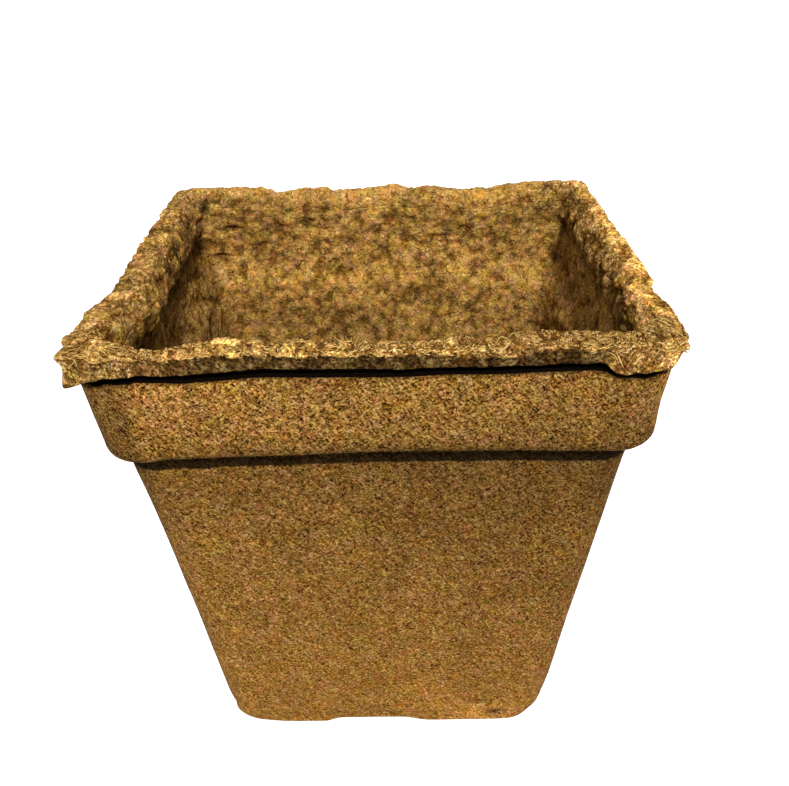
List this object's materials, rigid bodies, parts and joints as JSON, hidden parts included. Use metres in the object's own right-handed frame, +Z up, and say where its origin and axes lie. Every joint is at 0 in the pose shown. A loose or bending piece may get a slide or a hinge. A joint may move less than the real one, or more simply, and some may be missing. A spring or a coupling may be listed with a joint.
{
  "type": "peat pot",
  "caption": "Square tapered plant pot of pressed peat fibre, with a wider collar below a thick frayed lip, low feet and a drain hole.",
  "frame": {"origin": "middle of the base, on the plane that the four feet stand on", "axes": "+Z up along the middle of the pot, +X to the right and -Y towards the viewer, square to the sides; the front face looks along -Y"},
  "size_m": [0.1334, 0.1334, 0.127],
  "materials": {
    "pressed_peat": "matte, fine-grained and speckled outside, coarse and lumpy inside",
    "frayed_peat": "matte, loosely matted fibres"
  },
  "bodies": {
    "root": {"base": "pressed_peat", "side_walls": "pressed_peat", "collar": "pressed_peat", "lip": "frayed_peat"}
  },
  "joints": []
}
